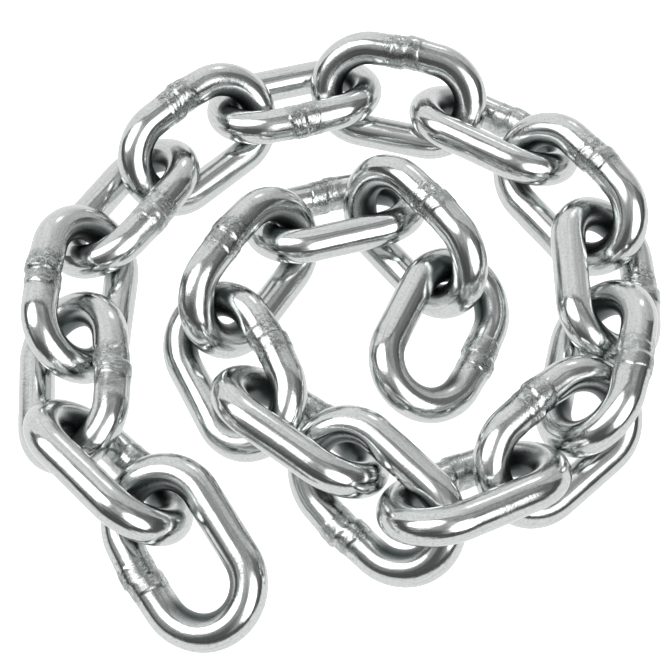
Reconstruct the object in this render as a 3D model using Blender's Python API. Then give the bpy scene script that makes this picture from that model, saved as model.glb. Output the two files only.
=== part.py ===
"""A heap of short steel chain: 21 welded links of 10 mm bar, lying in a flat spiral on a level floor.

The model is in metres with +Z up. Its origin is the bottom centre of the heap, so the floor is z = 0.
Sizes below are in millimetres and degrees, and are turned to metres where the objects are made.

A link is a round bar bent to an oval ring and butt-welded in the middle of one straight side.
Each link hangs in the one before it, leans to the other side, and rests on the floor or on its neighbours.
"""

import math

import bpy
import numpy as np
from mathutils import Matrix, Vector

# Driving sizes of one link, in millimetres
BAR_DIAMETER = 10.0
LINK_LENGTH = 55.0
LINK_WIDTH = 35.0
WELD_LENGTH = 8.0
WELD_SWELL = 0.04
WELD_BOW = 1.0
BOW_REACH = 16.0

# How the chain lies: millimetres across the floor, then the heading of the link's long axis and its lean,
# in degrees. A positive lean lifts the left-hand bar of the link. The last entry says which bar is welded.
LEFT = 1
RIGHT = -1
LAY = (
    (-39, -70, 123, -24, LEFT),
    (-60, -50, 136, 54, RIGHT),
    (-72, -20, 95, -28, RIGHT),
    (-72, 6, 87, 46, LEFT),
    (-62, 37, 56, -30, RIGHT),
    (-41, 59, 43, 47, LEFT),
    (-12, 76, 15, -24, RIGHT),
    (20, 76, -14, 46, LEFT),
    (49, 63, -31, -31, LEFT),
    (69, 39, -53, 49, LEFT),
    (78, 11, -90, -31, LEFT),
    (72, -18, -105, 48, LEFT),
    (61, -39, -139, -34, RIGHT),
    (37, -54, -154, 44, RIGHT),
    (11, -56, 135, -37, LEFT),
    (-9, -37, 144, 47, RIGHT),
    (-28, -18, 118, -32, RIGHT),
    (-24, 12, 57, 56, LEFT),
    (1, 34, 15, -28, LEFT),
    (23, 24, -51, 63, LEFT),
    (30, -6, -115, -27, LEFT),
)

# Seating: the space kept between bars, and how firmly a link keeps to its place in LAY
CLEARANCE = 0.4
ROUNDS = 120
CLEARING_ROUNDS = 60
PLACE_HOLD = 0.04
TURN_HOLD = 0.3
SINK = 0.08
NEIGHBOURS = 6

# Mesh fineness: the bar has 4 + 2 * BAR_RESOLUTION sides
BAR_RESOLUTION = 4
CROWN_STEPS = 10
SEATING_CROWN_STEPS = 18
SEATING_SIDE_STEPS = 8

# The finish of the bar
STEEL_COLOUR = (0.60, 0.61, 0.62, 1.0)
STEEL_ROUGHNESS = 0.18
BARE_METAL = 1.0

# Sizes that follow from the ones above
MM = 0.001
BAR_RADIUS = BAR_DIAMETER / 2
CROWN_RADIUS = (LINK_WIDTH - BAR_DIAMETER) / 2
HALF_STRAIGHT = (LINK_LENGTH - LINK_WIDTH) / 2
TURNING_ARM = (LINK_LENGTH - BAR_DIAMETER + LINK_WIDTH - BAR_DIAMETER) / 4
UP = np.array((0.0, 0.0, 1.0))


def crown(centre_x, start, steps):
    """Points round one half-circle end of a link, from the start angle on."""
    angle = np.radians(np.linspace(start, start + 180.0, steps + 1))
    x = centre_x + CROWN_RADIUS * np.cos(angle)
    y = CROWN_RADIUS * np.sin(angle)
    return np.column_stack((x, y, np.zeros_like(x)))


def side(stations, y):
    """Points along one straight side, between the crowns."""
    x = np.asarray(stations, dtype=float)
    return np.column_stack((x, np.full_like(x, y), np.zeros_like(x)))


def bowed(points):
    """Stand the welded side out in the middle, where the two ends of the bar meet at a slight angle."""
    x, y, z = points.T
    out = WELD_BOW * np.maximum(1.0 - np.abs(x) / BOW_REACH, 0.0)
    return np.column_stack((x, y + np.where(y > 0.0, out, 0.0), z))


def bar_path(crown_steps, left_stations, right_stations):
    """The centre line of the bar in the link's own plane, once round. The long axis is x."""
    return bowed(np.vstack((
        crown(HALF_STRAIGHT, -90.0, crown_steps),
        side(left_stations, CROWN_RADIUS),
        crown(-HALF_STRAIGHT, 90.0, crown_steps),
        side(right_stations, -CROWN_RADIUS),
    )))


def link_axes(heading, lean):
    """Columns are the link's long axis, its left-hand side and the normal of its plane."""
    along = np.array((math.cos(heading), math.sin(heading), 0.0))
    level_left = np.cross(UP, along)
    left = math.cos(lean) * level_left + math.sin(lean) * UP
    return np.column_stack((along, left, np.cross(along, left)))


def turned(axes, turn):
    """The axes after a turn, given as a vector along its axis with the angle as its length."""
    angle = float(np.linalg.norm(turn))
    if angle == 0.0:
        return axes
    return np.array(Matrix.Rotation(angle, 3, Vector(turn))) @ axes


def turn_between(axes, wanted):
    """The small turn that takes axes to the wanted ones, without any rise of the long axis."""
    turn = 0.5 * np.cross(axes.T, wanted.T).sum(axis=0)
    across = np.cross(UP, axes[:, 0])
    across /= np.linalg.norm(across)
    return turn - (turn @ across) * across


class Link:
    """One link as it is being seated, in millimetres."""

    shape = bar_path(
        SEATING_CROWN_STEPS,
        np.linspace(HALF_STRAIGHT, -HALF_STRAIGHT, SEATING_SIDE_STEPS + 1)[1:-1],
        np.linspace(-HALF_STRAIGHT, HALF_STRAIGHT, SEATING_SIDE_STEPS + 1)[1:-1],
    )

    def __init__(self, x, y, heading, lean, weld):
        self.path = self.shape * (1.0, weld, 1.0)
        self.place = np.array((x, y), dtype=float)
        self.wanted_axes = link_axes(math.radians(heading), math.radians(lean))
        self.axes = self.wanted_axes
        self.centre = np.array((x, y, 0.0))
        self.centre[2] = BAR_RADIUS - self.points()[:, 2].min()

    def points(self):
        return self.path @ self.axes.T + self.centre

    def ease(self):
        """Draw the link a little way back to its place in LAY, and let it sink."""
        self.centre[:2] += PLACE_HOLD * (self.place - self.centre[:2])
        self.centre[2] -= SINK
        self.axes = turned(self.axes, TURN_HOLD * turn_between(self.axes, self.wanted_axes))

    def push(self, point, direction, amount):
        """Move the link by a push at one point of its bar, which also turns it."""
        lever = np.cross(point - self.centre, direction)
        self.centre = self.centre + amount * direction
        self.axes = turned(self.axes, amount * lever / TURNING_ARM**2)

    def give(self, point, direction):
        """How readily the bar moves at a point when it is pushed there."""
        lever = np.cross(point - self.centre, direction)
        return 1.0 + lever @ lever / TURNING_ARM**2


def part_links(first, second):
    """Push two links apart where their bars come closer than the clearance."""
    if np.linalg.norm(first.centre - second.centre) > LINK_LENGTH:
        return
    first_points = first.points()
    second_points = second.points()
    spans = np.linalg.norm(first_points[:, None] - second_points[None], axis=2)
    i, j = np.unravel_index(spans.argmin(), spans.shape)
    short = BAR_DIAMETER + CLEARANCE - spans[i, j]
    if short <= 0.0:
        return
    direction = (first_points[i] - second_points[j]) / spans[i, j]
    give = first.give(first_points[i], direction) + second.give(second_points[j], -direction)
    first.push(first_points[i], direction, short / give)
    second.push(second_points[j], -direction, short / give)


def lift_off_floor(link):
    """Raise the lowest point of the bar to the floor."""
    points = link.points()
    low = points[points[:, 2].argmin()]
    if low[2] < BAR_RADIUS:
        link.push(low, UP, (BAR_RADIUS - low[2]) / link.give(low, UP))


def seated_links():
    """The links of LAY, lowered on to the floor and on each other, with the clearance between their bars."""
    links = [Link(*row) for row in LAY]
    for number in range(ROUNDS + CLEARING_ROUNDS):
        for i, link in enumerate(links):
            if number < ROUNDS:
                link.ease()
            for other in links[i + 1:i + 1 + NEIGHBOURS]:
                part_links(link, other)
            lift_off_floor(link)
    return links


def link_curve():
    """The bar of one link: a closed curve with a round bevel, a little thicker at the weld on its left side."""
    half_weld = WELD_LENGTH / 2
    weld_stations = np.linspace(half_weld, -half_weld, 5)
    path = bar_path(CROWN_STEPS, weld_stations, ())
    curve = bpy.data.curves.new("link_bar", "CURVE")
    curve.dimensions = "3D"
    curve.bevel_depth = BAR_RADIUS * MM
    curve.bevel_resolution = BAR_RESOLUTION
    spline = curve.splines.new("POLY")
    spline.points.add(len(path) - 1)
    spline.use_cyclic_u = True
    for point, (x, y, z) in zip(spline.points, path):
        at_weld = y > 0.0 and abs(x) < half_weld
        point.co = (x * MM, y * MM, z * MM, 1.0)
        point.radius = 1.0 + WELD_SWELL if at_weld else 1.0
    return curve


def steel():
    """Bright steel bar."""
    material = bpy.data.materials.new("bright_steel")
    material.use_nodes = True
    shader = material.node_tree.nodes["Principled BSDF"]
    shader.inputs["Base Color"].default_value = STEEL_COLOUR
    shader.inputs["Metallic"].default_value = BARE_METAL
    shader.inputs["Roughness"].default_value = STEEL_ROUGHNESS
    material.diffuse_color = STEEL_COLOUR
    return material


def link_matrix(link, weld):
    """Where the link lies, in metres. A link welded on its right is turned over about its long axis."""
    axes = link.axes @ np.diag((1.0, weld, weld))
    matrix = Matrix(axes.tolist()).to_4x4()
    matrix.translation = Vector(link.centre * MM)
    return matrix


def set_on_origin(objects, holder):
    """Move the holder so that the heap stands on z = 0 with its box centred on the origin."""
    bpy.context.view_layer.update()
    depsgraph = bpy.context.evaluated_depsgraph_get()
    corners = []
    for obj in objects:
        evaluated = obj.evaluated_get(depsgraph)
        mesh = evaluated.to_mesh()
        corners.extend(obj.matrix_world @ vertex.co for vertex in mesh.vertices)
        evaluated.to_mesh_clear()
    corners = np.array(corners)
    low = corners.min(axis=0)
    high = corners.max(axis=0)
    holder.location = (-(low[0] + high[0]) / 2, -(low[1] + high[1]) / 2, -low[2])


def main():
    for obj in list(bpy.data.objects):
        bpy.data.objects.remove(obj, do_unlink=True)

    collection = bpy.data.collections.new("steel_chain_heap")
    bpy.context.scene.collection.children.link(collection)
    holder = bpy.data.objects.new("chain", None)
    collection.objects.link(holder)

    curve = link_curve()
    curve.materials.append(steel())
    objects = []
    for number, (link, row) in enumerate(zip(seated_links(), LAY), start=1):
        obj = bpy.data.objects.new(f"link_{number:02d}", curve)
        collection.objects.link(obj)
        obj.parent = holder
        obj.matrix_local = link_matrix(link, row[4])
        objects.append(obj)
    set_on_origin(objects, holder)


main()
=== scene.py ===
"""A heap of bright steel chain: 21 welded links in a flat spiral, on a white floor in soft studio light.

Each link of the frame is modelled again as a finely meshed bar with its butt weld, lying exactly where
the frame's link lies. Lengths are in metres unless a name ends in _MM.
"""

import math

import bmesh
import bpy
import numpy as np
from bpy.props import FloatProperty, FloatVectorProperty, IntProperty, PointerProperty
from bpy.types import Operator, Panel, PropertyGroup
from mathutils import Matrix, Vector, noise


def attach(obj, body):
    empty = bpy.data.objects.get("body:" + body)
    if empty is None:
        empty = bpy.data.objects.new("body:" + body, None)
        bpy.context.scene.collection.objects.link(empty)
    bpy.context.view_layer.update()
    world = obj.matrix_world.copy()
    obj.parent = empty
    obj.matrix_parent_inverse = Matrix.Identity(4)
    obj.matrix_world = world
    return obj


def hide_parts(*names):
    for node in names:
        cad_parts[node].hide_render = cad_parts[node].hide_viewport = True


bl_info = {
    "name": "Steel Chain Heap",
    "version": (1, 0, 0),
    "blender": (4, 5, 0),
    "location": "3D View > Sidebar > Chain",
    "description": "Models the welded links, their bright finish and a plain studio",
    "category": "Object",
}

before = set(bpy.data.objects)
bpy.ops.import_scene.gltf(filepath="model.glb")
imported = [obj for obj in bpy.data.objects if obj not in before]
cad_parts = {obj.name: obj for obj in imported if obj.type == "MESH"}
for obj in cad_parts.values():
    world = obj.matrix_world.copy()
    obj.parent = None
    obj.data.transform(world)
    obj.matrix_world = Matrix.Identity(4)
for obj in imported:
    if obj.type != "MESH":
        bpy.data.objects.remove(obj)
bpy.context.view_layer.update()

MM = 0.001
LINK_NODES = sorted(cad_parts)

# Mesh fineness: rings along the bar of one link
CROWN_RINGS = 34
WELD_SIDE_RINGS = 100
PLAIN_SIDE_RINGS = 10
MERGE_DISTANCE = 0.01 * MM

# Measuring the frame's links: which vertices count as a crown's tip, and which as lying in a crown
TIP_SHARE = 0.999
CROWN_SHARE = 0.4
JUST_PAST = 1e-7

# The weld: the rounding of the slight angle there, and how the two bar ends that miss each other run out
KINK_ROUNDING = 1.5 * MM
MISS_REACH = 7 * MM
MISS_STEP = 0.5 * MM

# The weld's surface: how far its ends stray, how they fade out, and how wide its ridges and marks are
END_STRAY = 1.6 * MM
FADE_INSIDE = 0.6 * MM
FADE_OUTSIDE = 0.3 * MM
RIDGE_WIDTH = 0.28 * MM
SEAM_WIDTH = 0.25 * MM
MARK_SPACING = 1.2 * MM
BOLD_RIDGE = 0.9
FAINT_RIDGE = 0.1
SEAM_SHARE = 0.5
PLAIN_CRINKLE = 0.4
PATCH_CRINKLE = 1.6

# Sizes of the weld's irregular patches, and the noise level at which they begin and are full
STRAY_SIZE = 4 * MM
RIDGE_BREAK_SIZE = 3.5 * MM
CRINKLED_PATCH_SIZE = 5 * MM
TRIMMED_PATCH_SIZE = 7 * MM
CRINKLE_SIZE = 1.7 * MM
CRINKLE_OCTAVES = 3
PATCH_EDGE = (-0.1, 0.4)
TRIMMED_EDGE = (0.0, 0.3)

# Unevenness of the bent bar: a slow wave, and a quicker one that is fainter
SLOW_WAVE = 14 * MM
QUICK_WAVE = 6 * MM
QUICK_SHARE = 0.4

# Where the painted shade and the rougher steel inside the bends begin and are full: how far the surface
# faces inwards, and the distance along the link from its middle
FACING_INWARDS = (0.3, 0.85)
INTO_THE_BEND = (6 * MM, 12 * MM)

# Where the weld's grey begins to fade and ends, and how far its relief reaches, in weld lengths
WELD_GREY = (0.4, 1.1)
RELIEF_REACH = 2.0

# Real sizes of the patterns in the steel. Grain of this bar is finer, and is drawn coarse enough to show.
STREAK_LENGTH = 16 * MM
BAND_WIDTH = 2.2 * MM
BAND_LENGTH = 30 * MM
GRAIN_SIZE = 0.7 * MM
CREASE_SIZE = 1.6 * MM
PITS_AND_SHADE_PATCH_SIZE = 11 * MM

# Depths of those patterns
BAND_DEPTH = 0.09 * MM
PIT_DEPTH = 0.018 * MM
SCAR_DEPTH = 0.05 * MM

# Shade and roughness of marks in the steel; along the weld's creases the shade is painted shade, faint in
# most places and full in patches
STREAK_SHADE = 0.3
GRAIN_SHADE = 0.22
CREASE_HALF_WIDTH = 0.025
CREASE_PAINTED_SHADE_FAINT = 0.1
CREASE_PAINTED_SHADE_FULL = 0.9
GRAIN_ROUGHNESS = 0.09
WELD_ROUGHNESS = 0.18
BEND_ROUGHNESS = 0.22

# Oval patches of the room as the steel mirrors it: centre and radii on the room map, and softness
DIM_SIDE = ((0.66, -0.03), (0.36, 0.32), 0.3)
DIM_FRONT = ((-0.34, -0.66), (0.34, 0.36), 0.3)
LEFT_KEY_LIGHT = ((-0.35, 0.0), (0.27, 0.18), 0.15)
FRONT_KEY_LIGHT = ((0.31, -0.35), (0.25, 0.27), 0.15)
SMALL_LIGHT_BEHIND = ((0.15, 0.57), (0.07, 0.05), 0.3)
DIM_SIDE_RADIANCE = 0.2
DIM_FRONT_RADIANCE = 0.12

# Bands of the room: where each begins and is full, as the height or the backward part of the direction
GLOOM_UNDER_CEILING = (0.45, 0.28)
GLOOM_BEFORE_WALL = (0.29, 0.34)
WALL_FOOT = (0.36, 0.40)
TABLE_EDGE = (0.03, -0.05)
ABOVE_NADIR = 1.001

# The floor and the camera, in metres from the middle of the heap
FLOOR_HALF_SIZE = 3.0
CAMERA_TARGET = Vector((-0.00273, 0.00035, 0.0))
CAMERA_DISTANCE = 0.408
CAMERA_ELEVATION = math.radians(62)
CAMERA_CLIP_START = 0.01
SENSOR_WIDTH_MM = 36.0
FOCAL_LENGTH_MM = 75.4


def linear_colour(hex_code):
    """An sRGB colour such as "C8CACB" as linear red, green and blue."""
    channels = [int(hex_code[i:i + 2], 16) / 255 for i in (0, 2, 4)]
    return tuple(c / 12.92 if c <= 0.04045 else ((c + 0.055) / 1.055) ** 2.4 for c in channels)


def noise_place(number):
    """A place in the noise that is a link's own, so that no two welds are alike."""
    return Vector((3.1 * number, 7.7 * number + 0.3, 2.9 * number - 5.5))


def link_pose(cad_link):
    """The matrix from a link's own plane to where it lies in the frame, with the welded side at +y.

    The middle is taken at the tips of the crowns, because the welded side stands out further.
    """
    points = np.unique(np.round([v.co for v in cad_link.data.vertices], 6), axis=0)
    normal, weld_side, along = np.linalg.eigh(np.cov(points.T))[1].T
    reach = points @ along
    reach = np.abs(reach - (reach.max() + reach.min()) / 2)
    tips = points[reach > TIP_SHARE * reach.max()]
    across = (points - tips.mean(axis=0)) @ weld_side
    if across.max() < -across.min():
        weld_side = -weld_side
    normal = normal * math.copysign(1.0, normal[2])
    axes = np.column_stack((np.cross(weld_side, normal), weld_side, normal))
    local = points @ axes
    middle = (local.max(axis=0) + local.min(axis=0)) / 2
    middle[1] = (tips @ weld_side).mean()
    matrix = Matrix(axes.tolist()).to_4x4()
    matrix.translation = Vector(axes @ middle)
    return matrix


def link_sizes(cad_link):
    """Length, width and bar diameter of a link, measured on the frame's own link."""
    to_link = link_pose(cad_link).inverted()
    points = np.array([to_link @ v.co for v in cad_link.data.vertices])
    length = np.ptp(points[:, 0])
    at_the_crowns = np.abs(points[:, 0]) > CROWN_SHARE * length
    bar = np.ptp(points[at_the_crowns, 2])
    width = -2 * points[:, 1].min()
    return tuple(round(float(x), 5) for x in (length, width, bar))


LENGTH, WIDTH, BAR = link_sizes(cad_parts[LINK_NODES[0]])


class LinkShape(PropertyGroup):
    """Sizes of one link and of its weld."""

    length: FloatProperty(name="Length", description="Outside length of a link",
                          default=LENGTH, unit="LENGTH")
    width: FloatProperty(name="Width", description="Outside width of a link",
                         default=WIDTH, unit="LENGTH")
    bar: FloatProperty(name="Bar", description="Diameter of the round bar",
                       default=BAR, unit="LENGTH")
    weld_length: FloatProperty(name="Weld length", description="Length of bar that the butt weld swells",
                               default=8.5 * MM, unit="LENGTH")
    weld_swell: FloatProperty(name="Weld swell", description="How much thicker the bar is at the weld",
                              default=0.18 * MM, unit="LENGTH")
    bow: FloatProperty(name="Bow", description="How far the welded side stands out in the middle",
                       default=1.0 * MM, unit="LENGTH")
    bow_reach: FloatProperty(name="Bow reach", description="How far to each side of the weld the bow runs",
                             default=16.0 * MM, unit="LENGTH")
    flash: FloatProperty(name="Flash", description="Height of the broken ridge at each end of the weld",
                         default=0.075 * MM, unit="LENGTH")
    crinkle: FloatProperty(name="Crinkle", description="Depth of the crinkles between the ridges",
                           default=0.04 * MM, unit="LENGTH")
    marks: FloatProperty(name="Marks", description="Height of the trimming marks across the weld",
                         default=0.02 * MM, unit="LENGTH")
    offset: FloatProperty(name="Bar offset", description="How far the two bar ends miss each other",
                          default=0.35 * MM, unit="LENGTH")
    waver: FloatProperty(name="Waver", description="Unevenness of the bent bar",
                         default=0.07 * MM, unit="LENGTH")
    sides: IntProperty(name="Sides", description="Faces round the bar", default=60, min=12)


class SteelFinish(PropertyGroup):
    """Colour and surface of the steel."""

    colour: FloatVectorProperty(name="Steel", description="Colour of the bright bar", size=3,
                                subtype="COLOR", default=linear_colour("D5D8D7"), min=0.0, max=1.0)
    weld_colour: FloatVectorProperty(name="Weld", description="Colour of the steel at the weld", size=3,
                                     subtype="COLOR", default=linear_colour("A8ADAC"), min=0.0, max=1.0)
    # Colour of the drawing lines and specks, and of the painted shade inside the bends and along the weld's
    # creases
    marks_and_shade_colour: FloatVectorProperty(name="Marks and painted shade", size=3, subtype="COLOR",
                                     description="Colour inside the bends and in creases and scratches",
                                     default=linear_colour("626868"), min=0.0, max=1.0)
    roughness: FloatProperty(name="Roughness", description="Roughness of the bright bar",
                             default=0.09, min=0.0, max=1.0)
    streak_width: FloatProperty(name="Streak width", description="Distance between the drawing lines",
                                default=0.5 * MM, unit="LENGTH")
    streak_depth: FloatProperty(name="Streak depth", description="Depth of the drawing lines",
                                default=0.025 * MM, unit="LENGTH")


class Studio(PropertyGroup):
    """The floor and the light."""

    floor_colour: FloatVectorProperty(name="Floor", description="Colour of the floor", size=3,
                                      subtype="COLOR", default=linear_colour("FAFBFB"), min=0.0, max=1.0)
    floor_glow: FloatProperty(name="Floor glow", description="Light given off by the floor",
                              default=0.9, min=0.0)
    key: FloatProperty(name="Key lights", description="Radiance of the two key lights and the small one",
                       default=3.2, min=0.0)
    wall: FloatProperty(name="Pale wall", description="Radiance of the pale wall behind the heap",
                        default=1.0, min=0.0)
    ceiling: FloatProperty(name="Ceiling", description="Radiance of the ceiling",
                           default=0.57, min=0.0)
    gloom: FloatProperty(name="Gloom", description="Radiance of the unlit room low down in front",
                         default=0.1, min=0.0)
    table: FloatProperty(name="Table", description="Radiance of the pale table, as the steel mirrors it",
                         default=1.0, min=0.0)


def ring_measures(sizes):
    """The radius of the bar's centre line in a crown, and half the length of a straight side."""
    return (sizes.width - sizes.bar) / 2, (sizes.length - sizes.width) / 2


def bar_ring(sizes):
    """A bmesh with one closed ring of round bar: long axis x, in the plane z = 0."""
    crown_radius, half_straight = ring_measures(sizes)
    bm = bmesh.new()
    section = Matrix.Translation((half_straight, -crown_radius, 0.0)) @ Matrix.Rotation(math.pi / 2, 4, "Y")
    bmesh.ops.create_circle(bm, segments=sizes.sides, radius=sizes.bar / 2, matrix=section)
    edges = bm.edges[:]
    edges = bend_crown(bm, edges, half_straight)
    edges = run_straight(bm, edges, -2 * half_straight, WELD_SIDE_RINGS)
    edges = bend_crown(bm, edges, -half_straight)
    run_straight(bm, edges, 2 * half_straight, PLAIN_SIDE_RINGS)
    bmesh.ops.remove_doubles(bm, verts=bm.verts, dist=MERGE_DISTANCE)
    bmesh.ops.recalc_face_normals(bm, faces=bm.faces)
    return bm


def bend_crown(bm, edges, centre_x):
    """Sweep the end section half a turn round a crown, and return the new end section."""
    swept = bmesh.ops.spin(bm, geom=edges, cent=(centre_x, 0.0, 0.0), axis=(0.0, 0.0, 1.0),
                           angle=math.pi, steps=CROWN_RINGS, use_merge=False)
    return [g for g in swept["geom_last"] if isinstance(g, bmesh.types.BMEdge)]


def run_straight(bm, edges, distance, rings):
    """Run the end section straight on along x in equal rings, and return the new end section."""
    for _ in range(rings):
        grown = bmesh.ops.extrude_edge_only(bm, edges=edges)["geom"]
        edges = [g for g in grown if isinstance(g, bmesh.types.BMEdge) and g.is_boundary and g not in edges]
        ends = {v for e in edges for v in e.verts}
        bmesh.ops.translate(bm, verts=list(ends), vec=(distance / rings, 0.0, 0.0))
    return edges


def along_the_bar(points, sizes):
    """For points on the bar: the way along it from the weld, the bar's centre there, and the direction of
    the bar's outer side there. The way is negative towards -x."""
    crown_radius, half_straight = ring_measures(sizes)
    x, y = points[:, 0], points[:, 1]
    zero = np.zeros(len(x))
    towards = np.where(x < 0, -1.0, 1.0)
    past = np.maximum(np.abs(x) - half_straight, 0.0)
    in_crown = past > JUST_PAST
    turn = np.where(in_crown, np.arctan2(y, past), np.where(y > 0, math.pi / 2, -math.pi / 2))
    way = towards * (half_straight + (math.pi / 2 - turn) * crown_radius)
    straight_way = np.where(y > 0, x, towards * (math.pi * crown_radius + 2 * half_straight - np.abs(x)))
    way = np.where(in_crown, way, straight_way)
    outer = np.column_stack((np.where(in_crown, towards * np.cos(turn), 0.0), np.sin(turn), zero))
    foot = np.column_stack((np.where(in_crown, towards * half_straight, x), zero, zero))
    return way, foot + crown_radius * outer, outer


def smooth_step(low, high, x):
    """0 below low, 1 above high, and an even rise in between."""
    t = min(max((x - low) / (high - low), 0.0), 1.0)
    return t * t * (3 - 2 * t)


def weld_relief(way, spot, seed, sizes):
    """How far the steel stands out at a spot near the weld, in metres.

    The upset bar is a little thicker between two broken ridges, one of them fainter. In between it has a
    broken seam, is crinkled in places, and carries a few trimming marks that run round the bar.
    """
    half = sizes.weld_length / 2
    stray = END_STRAY * noise.noise(spot / STRAY_SIZE + seed)
    at = way + stray
    inside = 1 - smooth_step(half - FADE_INSIDE, half + FADE_OUTSIDE, abs(at))
    ridge = math.exp(-((abs(at) - half) / RIDGE_WIDTH) ** 2)
    ridge *= BOLD_RIDGE if way * noise.noise(seed) >= 0 else FAINT_RIDGE
    broken = smooth_step(*PATCH_EDGE, noise.noise(spot / RIDGE_BREAK_SIZE - seed))
    seam = SEAM_SHARE * math.exp(-((at + stray) / SEAM_WIDTH) ** 2)
    patch = smooth_step(*PATCH_EDGE, noise.noise(spot / CRINKLED_PATCH_SIZE + 3 * seed))
    trimmed = smooth_step(*TRIMMED_EDGE, noise.noise(spot / TRIMMED_PATCH_SIZE + 5 * seed))
    crinkle = noise.turbulence(spot / CRINKLE_SIZE + 2 * seed, CRINKLE_OCTAVES, False) - 0.5
    relief = sizes.weld_swell + sizes.crinkle * crinkle * (PLAIN_CRINKLE + PATCH_CRINKLE * patch)
    relief += sizes.marks * trimmed * math.sin(2 * math.pi * at / MARK_SPACING)
    return inside * relief + sizes.flash * broken * (ridge + seam * patch)


def welded_side_bow(centre, sizes):
    """How far the bar's centre is moved outwards on the welded side, greatest at the weld."""
    if centre.y <= 0:
        return 0.0
    from_weld = math.hypot(centre.x, KINK_ROUNDING) - KINK_ROUNDING
    return sizes.bow * max(1 - from_weld / sizes.bow_reach, 0.0)


def uneven_bar(spot, seed, sizes):
    """Slow unevenness of the bent and tumbled bar, in metres."""
    slow = noise.noise(spot / SLOW_WAVE + seed)
    quick = noise.noise(spot / QUICK_WAVE - seed)
    return sizes.waver * (slow + QUICK_SHARE * quick)


def miss_share(way):
    """How far the bar's centre is off near the weld: from -1 on one side of it to 1 on the other."""
    near = math.exp(-(way / MISS_REACH) ** 2)
    return near * (2 * smooth_step(-MISS_STEP, MISS_STEP, way) - 1)


def shape_link(bm, sizes, seed):
    """Give the plain ring its weld and unevenness, and note on each vertex where on the bar it lies, how
    much painted shade and roughness it gets inside the bends, and how near the weld it is.
    """
    on_bar = bm.verts.layers.float_vector.new("bar_run")
    at_weld = bm.verts.layers.float.new("weld")
    bend_shade_and_roughness = bm.verts.layers.float.new("bend_shade_and_roughness")
    points = np.array([v.co for v in bm.verts])
    ways, centres, outers = along_the_bar(points, sizes)
    miss = Vector(seed).normalized() * sizes.offset
    for vert, way, centre, outer in zip(bm.verts, ways, centres, outers):
        centre, outer = Vector(centre), Vector(outer)
        radial = (vert.co - centre).normalized()
        spot = vert.co.copy()
        height = uneven_bar(spot, seed, sizes)
        if abs(way) < RELIEF_REACH * sizes.weld_length:
            height += weld_relief(way, spot, seed, sizes)
            centre = centre + miss * miss_share(way)
        centre.y += welded_side_bow(centre, sizes)
        vert.co = centre + radial * (sizes.bar / 2 + height)
        vert[on_bar] = (sizes.bar / 2 * radial.dot(outer), sizes.bar / 2 * radial.z, abs(way))
        # Painted shade inside the crowns, where the links shade themselves; the same mask also makes the
        # steel there rougher
        vert[bend_shade_and_roughness] = (smooth_step(*FACING_INWARDS, -radial.dot(outer))
                         * smooth_step(*INTO_THE_BEND, abs(spot.x)))
        vert[at_weld] = 1 - smooth_step(*WELD_GREY, abs(way) / sizes.weld_length)


def node(tree, kind, settings=None, **links):
    """Add a shader node, set its plain values, and link or set its inputs.

    An input is called by its name, with _ for a space, or by its number, as in i0.
    """
    new = tree.nodes.new(kind)
    for name, value in (settings or {}).items():
        setattr(new, name, value)
    for name, value in links.items():
        numbered = name[0] == "i" and name[1:].isdigit()
        socket = new.inputs[int(name[1:]) if numbered else name.replace("_", " ")]
        if isinstance(value, bpy.types.NodeSocket):
            tree.links.new(value, socket)
        else:
            socket.default_value = value
    return new


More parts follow.
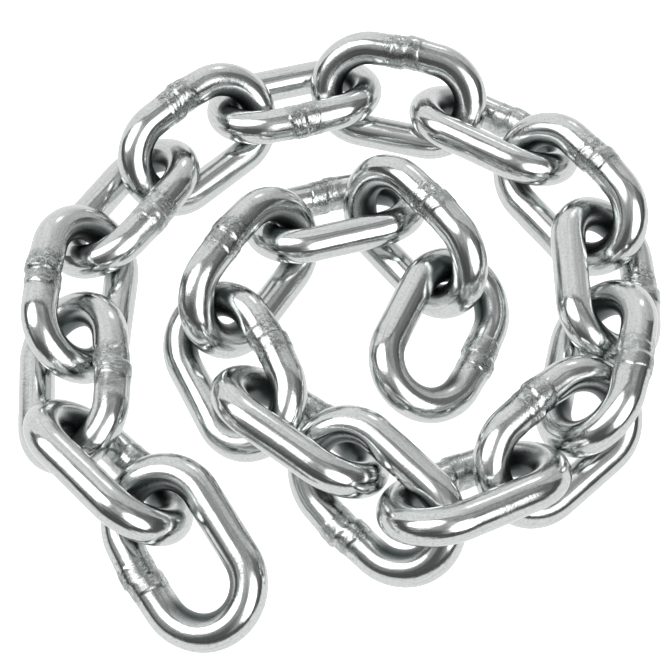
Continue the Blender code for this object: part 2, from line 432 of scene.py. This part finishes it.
def barrel_polished_steel(finish):
    """Carbon steel bar, drawn, bent, butt-welded and barrel-polished.

    It gives the eye sharp, high-contrast reflections that run along the bar, broken up by fine drawing
    lines and specks, a greyer patch with painted shade along its creases at each weld, and rougher steel
    with painted shade inside the bends.
    """
    material = bpy.data.materials.new("barrel_polished_steel")
    material.use_nodes = True
    tree = material.node_tree
    shader = tree.nodes["Principled BSDF"]
    shader.inputs["Metallic"].default_value = 1.0

    run = node(tree, "ShaderNodeAttribute", {"attribute_name": "bar_run"})
    weld = node(tree, "ShaderNodeAttribute", {"attribute_name": "weld"})
    bend_shade_and_roughness = node(tree, "ShaderNodeAttribute", {"attribute_name": "bend_shade_and_roughness"})
    place = node(tree, "ShaderNodeTexCoord")

    across = 1 / finish.streak_width
    lengthwise = node(tree, "ShaderNodeMapping", Vector=run.outputs["Vector"],
                      Scale=(across, across, 1 / STREAK_LENGTH))
    streaks = node(tree, "ShaderNodeTexNoise", Vector=lengthwise.outputs["Vector"],
                   Scale=1.0, Detail=3.0, Roughness=0.6)
    broad = node(tree, "ShaderNodeMapping", Vector=run.outputs["Vector"],
                 Scale=(1 / BAND_WIDTH, 1 / BAND_WIDTH, 1 / BAND_LENGTH))
    bands = node(tree, "ShaderNodeTexNoise", Vector=broad.outputs["Vector"], Scale=1.0, Detail=2.0)
    grain = node(tree, "ShaderNodeTexNoise", Vector=place.outputs["Object"],
                 Scale=1 / GRAIN_SIZE, Detail=3.0, Roughness=0.7)
    crinkle = node(tree, "ShaderNodeTexNoise", Vector=place.outputs["Object"],
                   Scale=1 / CREASE_SIZE, Detail=4.0, Roughness=0.6, Distortion=0.8)
    pits_and_shade_patches = node(tree, "ShaderNodeTexNoise", Vector=place.outputs["Object"],
                Scale=1 / PITS_AND_SHADE_PATCH_SIZE, Detail=2.0)

    weld_grain = node(tree, "ShaderNodeMath", {"operation": "MULTIPLY"},
                      i0=weld.outputs["Fac"], i1=crinkle.outputs["Fac"])
    patchy = node(tree, "ShaderNodeMapRange", Value=weld_grain.outputs[0],
                  From_Min=0.35, From_Max=0.62, To_Min=0.0, To_Max=1.0)
    scratched = node(tree, "ShaderNodeMapRange", Value=streaks.outputs["Fac"], From_Min=0.5, From_Max=0.75,
                     To_Min=0.0, To_Max=STREAK_SHADE)
    specked = node(tree, "ShaderNodeMapRange", Value=grain.outputs["Fac"], From_Min=0.48, From_Max=0.68,
                   To_Min=0.0, To_Max=GRAIN_SHADE)
    stained = node(tree, "ShaderNodeMath", {"operation": "MAXIMUM"},
                   i0=scratched.outputs["Result"], i1=specked.outputs["Result"])
    bright = node(tree, "ShaderNodeMix", {"data_type": "RGBA"}, i0=stained.outputs[0],
                  i6=(*finish.colour, 1.0), i7=(*finish.marks_and_shade_colour, 1.0))
    welded = node(tree, "ShaderNodeMix", {"data_type": "RGBA"}, i0=patchy.outputs["Result"],
                  i6=bright.outputs[2], i7=(*finish.weld_colour, 1.0))
    # Painted shade along thin creases of the weld, fainter in most places and full in patches
    on_crease = node(tree, "ShaderNodeMath", {"operation": "COMPARE"},
                     i0=crinkle.outputs["Fac"], i1=0.5, i2=CREASE_HALF_WIDTH)
    creased = node(tree, "ShaderNodeMapRange", Value=pits_and_shade_patches.outputs["Fac"], From_Min=0.42, From_Max=0.56,
                   To_Min=CREASE_PAINTED_SHADE_FAINT, To_Max=CREASE_PAINTED_SHADE_FULL)
    creased = node(tree, "ShaderNodeMath", {"operation": "MULTIPLY"},
                   i0=creased.outputs["Result"], i1=weld.outputs["Fac"])
    crease_shade = node(tree, "ShaderNodeMath", {"operation": "MULTIPLY"},
                  i0=on_crease.outputs[0], i1=creased.outputs[0])
    # Painted shade: the colour turns to the marks-and-shade colour inside the bends and along the weld's
    # creases
    painted_shade = node(tree, "ShaderNodeMath", {"operation": "MAXIMUM"},
                i0=bend_shade_and_roughness.outputs["Fac"], i1=crease_shade.outputs[0])
    colour = node(tree, "ShaderNodeMix", {"data_type": "RGBA"}, i0=painted_shade.outputs[0],
                  i6=welded.outputs[2], i7=(*finish.marks_and_shade_colour, 1.0))
    tree.links.new(colour.outputs[2], shader.inputs["Base Color"])

    smooth = node(tree, "ShaderNodeMapRange", Value=grain.outputs["Fac"], From_Min=0.35, From_Max=0.7,
                  To_Min=finish.roughness, To_Max=finish.roughness + GRAIN_ROUGHNESS)
    rough = node(tree, "ShaderNodeMath", {"operation": "MULTIPLY_ADD"},
                 i0=patchy.outputs["Result"], i1=WELD_ROUGHNESS, i2=smooth.outputs["Result"])
    rough = node(tree, "ShaderNodeMath", {"operation": "MULTIPLY_ADD"},
                 i0=bend_shade_and_roughness.outputs["Fac"], i1=BEND_ROUGHNESS, i2=rough.outputs[0])
    tree.links.new(rough.outputs[0], shader.inputs["Roughness"])

    pitted = node(tree, "ShaderNodeMapRange", Value=pits_and_shade_patches.outputs["Fac"], From_Min=0.48, From_Max=0.66,
                  To_Min=0.4, To_Max=3.0)
    pitting = node(tree, "ShaderNodeMath", {"operation": "MULTIPLY"},
                   i0=grain.outputs["Fac"], i1=pitted.outputs["Result"])
    lines = node(tree, "ShaderNodeBump", Height=streaks.outputs["Fac"],
                 Distance=finish.streak_depth, Strength=1.0)
    waves = node(tree, "ShaderNodeBump", Height=bands.outputs["Fac"], Distance=BAND_DEPTH,
                 Strength=1.0, Normal=lines.outputs["Normal"])
    pits = node(tree, "ShaderNodeBump", Height=pitting.outputs[0], Distance=PIT_DEPTH,
                Strength=1.0, Normal=waves.outputs["Normal"])
    scars = node(tree, "ShaderNodeBump", Height=weld_grain.outputs[0], Distance=SCAR_DEPTH,
                 Strength=1.0, Normal=pits.outputs["Normal"])
    tree.links.new(scars.outputs["Normal"], shader.inputs["Normal"])
    return material


def lit_white_acrylic(studio):
    """Matt white acrylic lit from below: an even white floor on which no shadow shows."""
    material = bpy.data.materials.new("lit_white_acrylic")
    material.use_nodes = True
    shader = material.node_tree.nodes["Principled BSDF"]
    shader.inputs["Base Color"].default_value = (*studio.floor_colour, 1.0)
    shader.inputs["Roughness"].default_value = 0.9
    shader.inputs["Specular IOR Level"].default_value = 0.1
    shader.inputs["Emission Color"].default_value = (*studio.floor_colour, 1.0)
    shader.inputs["Emission Strength"].default_value = studio.floor_glow
    return material


class CHAIN_OT_links(Operator):
    """Model every link of the chain where the frame has it"""

    bl_idname = "chain.links"
    bl_label = "Links"

    def execute(self, context):
        sizes = context.scene.chain_shape
        steel = barrel_polished_steel(context.scene.chain_finish)
        for number, name in enumerate(LINK_NODES, start=1):
            bm = bar_ring(sizes)
            shape_link(bm, sizes, noise_place(number))
            bmesh.ops.transform(bm, matrix=link_pose(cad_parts[name]), verts=bm.verts)
            mesh = bpy.data.meshes.new("steel_" + name)
            bm.to_mesh(mesh)
            bm.free()
            mesh.shade_smooth()
            mesh.materials.append(steel)
            link = bpy.data.objects.new("steel_" + name, mesh)
            context.scene.collection.objects.link(link)
            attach(link, "root")
            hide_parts(name)
        return {"FINISHED"}


def room_patch(tree, room_map, level, oval_shape, radiance):
    """Lay an oval patch of another radiance over the room.

    The room is mapped on a plane that has the zenith at 0 and the horizon at a distance of 1.
    """
    centre, radii, soft = oval_shape
    spread = node(tree, "ShaderNodeVectorMath", {"operation": "SUBTRACT"}, i0=room_map, i1=(*centre, 0.0))
    oval = node(tree, "ShaderNodeVectorMath", {"operation": "DIVIDE"},
                i0=spread.outputs[0], i1=(*radii, 1.0))
    distance = node(tree, "ShaderNodeVectorMath", {"operation": "LENGTH"}, i0=oval.outputs[0])
    mask = node(tree, "ShaderNodeMapRange", {"interpolation_type": "SMOOTHSTEP"},
                Value=distance.outputs["Value"], From_Min=1.0 + soft, From_Max=1.0 - soft)
    mix = node(tree, "ShaderNodeMix", {"data_type": "FLOAT"},
               i0=mask.outputs["Result"], i2=level, i3=radiance)
    return mix.outputs[0]


def room_band(tree, measure, band, level, radiance):
    """Lay another radiance over the part of the room where a measure of the direction has passed a band."""
    begins, full = band
    mask = node(tree, "ShaderNodeMapRange", {"interpolation_type": "SMOOTHSTEP"},
                Value=measure, From_Min=begins, From_Max=full)
    mix = node(tree, "ShaderNodeMix", {"data_type": "FLOAT"},
               i0=mask.outputs["Result"], i2=level, i3=radiance)
    return mix.outputs[0]


def studio_world(studio):
    """The room around the heap, as the steel mirrors it.

    It has two white key lights and a small one behind, a pale wall behind, a grey ceiling with darker
    places, and gloom beyond the edge of a small pale table.
    """
    world = bpy.data.worlds.new("studio_room")
    bpy.context.scene.world = world
    world.use_nodes = True
    tree = world.node_tree
    direction = node(tree, "ShaderNodeTexCoord").outputs["Generated"]
    parts = node(tree, "ShaderNodeSeparateXYZ", Vector=direction)
    height = node(tree, "ShaderNodeMath", {"operation": "ADD"}, i0=parts.outputs["Z"], i1=ABOVE_NADIR)
    flat = node(tree, "ShaderNodeVectorMath", {"operation": "MULTIPLY"}, i0=direction, i1=(1.0, 1.0, 0.0))
    shrink = node(tree, "ShaderNodeMath", {"operation": "DIVIDE"}, i0=1.0, i1=height.outputs[0])
    room_map = node(tree, "ShaderNodeVectorMath", {"operation": "SCALE"},
                    i0=flat.outputs[0], Scale=shrink.outputs[0]).outputs[0]

    clutter = node(tree, "ShaderNodeTexNoise", Vector=room_map, Scale=5.0, Detail=4.0, Roughness=0.6,
                   Distortion=0.5)
    ceiling = node(tree, "ShaderNodeMapRange", Value=clutter.outputs["Fac"], From_Min=0.3, From_Max=0.7,
                   To_Min=0.35 * studio.ceiling, To_Max=1.4 * studio.ceiling)
    shade = node(tree, "ShaderNodeMapRange", Value=parts.outputs["X"], From_Min=-0.1, From_Max=0.75,
                 To_Min=studio.wall, To_Max=0.6 * studio.wall)
    blotch = node(tree, "ShaderNodeMapRange", Value=clutter.outputs["Fac"], From_Min=0.35, From_Max=0.65,
                  To_Min=0.85, To_Max=1.08)
    wall = node(tree, "ShaderNodeMath", {"operation": "MULTIPLY"},
                i0=shade.outputs["Result"], i1=blotch.outputs["Result"])

    level = ceiling.outputs["Result"]
    level = room_patch(tree, room_map, level, DIM_SIDE, DIM_SIDE_RADIANCE)
    level = room_patch(tree, room_map, level, DIM_FRONT, DIM_FRONT_RADIANCE)
    level = room_band(tree, parts.outputs["Z"], GLOOM_UNDER_CEILING, level, studio.gloom)
    level = room_band(tree, parts.outputs["Y"], GLOOM_BEFORE_WALL, level, studio.gloom)
    level = room_band(tree, parts.outputs["Y"], WALL_FOOT, level, wall.outputs[0])
    for light in (LEFT_KEY_LIGHT, FRONT_KEY_LIGHT, SMALL_LIGHT_BEHIND):
        level = room_patch(tree, room_map, level, light, studio.key)
    level = room_band(tree, parts.outputs["Z"], TABLE_EDGE, level, studio.table)

    background = tree.nodes["Background"]
    background.inputs["Color"].default_value = (1.0, 1.0, 1.0, 1.0)
    tree.links.new(level, background.inputs["Strength"])


class CHAIN_OT_studio(Operator):
    """Lay the white floor, set the soft lights and the camera"""

    bl_idname = "chain.studio"
    bl_label = "Studio"

    def execute(self, context):
        scene = context.scene
        studio = scene.chain_studio
        bm = bmesh.new()
        bmesh.ops.create_grid(bm, x_segments=1, y_segments=1, size=FLOOR_HALF_SIZE)
        mesh = bpy.data.meshes.new("floor")
        bm.to_mesh(mesh)
        bm.free()
        mesh.materials.append(lit_white_acrylic(studio))
        floor = bpy.data.objects.new("floor", mesh)
        scene.collection.objects.link(floor)
        floor.visible_glossy = False

        studio_world(studio)

        camera = bpy.data.cameras.new("camera")
        camera.sensor_width = SENSOR_WIDTH_MM
        camera.lens = FOCAL_LENGTH_MM
        camera.clip_start = CAMERA_CLIP_START
        viewer = bpy.data.objects.new("camera", camera)
        back = Vector((0.0, -math.cos(CAMERA_ELEVATION), math.sin(CAMERA_ELEVATION)))
        viewer.location = CAMERA_TARGET + CAMERA_DISTANCE * back
        viewer.rotation_euler = back.to_track_quat("Z", "Y").to_euler()
        scene.collection.objects.link(viewer)
        scene.camera = viewer
        scene.view_settings.view_transform = "Standard"
        return {"FINISHED"}


class CHAIN_PT_panel(Panel):
    """The chain's operators and their values"""

    bl_idname = "CHAIN_PT_panel"
    bl_label = "Steel Chain Heap"
    bl_space_type = "VIEW_3D"
    bl_region_type = "UI"
    bl_category = "Chain"

    def draw(self, context):
        layout = self.layout
        for group, operator in (("chain_shape", None), ("chain_finish", CHAIN_OT_links),
                                ("chain_studio", CHAIN_OT_studio)):
            values = getattr(context.scene, group)
            for name in values.__annotations__:
                layout.prop(values, name)
            if operator:
                layout.operator(operator.bl_idname)


CLASSES = (LinkShape, SteelFinish, Studio, CHAIN_OT_links, CHAIN_OT_studio, CHAIN_PT_panel)
VALUE_GROUPS = {"chain_shape": LinkShape, "chain_finish": SteelFinish, "chain_studio": Studio}


def register():
    for each in CLASSES:
        bpy.utils.register_class(each)
    for name, group in VALUE_GROUPS.items():
        setattr(bpy.types.Scene, name, PointerProperty(type=group))


def unregister():
    for name in VALUE_GROUPS:
        delattr(bpy.types.Scene, name)
    for each in reversed(CLASSES):
        bpy.utils.unregister_class(each)


def main():
    register()
    bpy.ops.chain.links()
    bpy.ops.chain.studio()


if __name__ == "__main__":
    main()
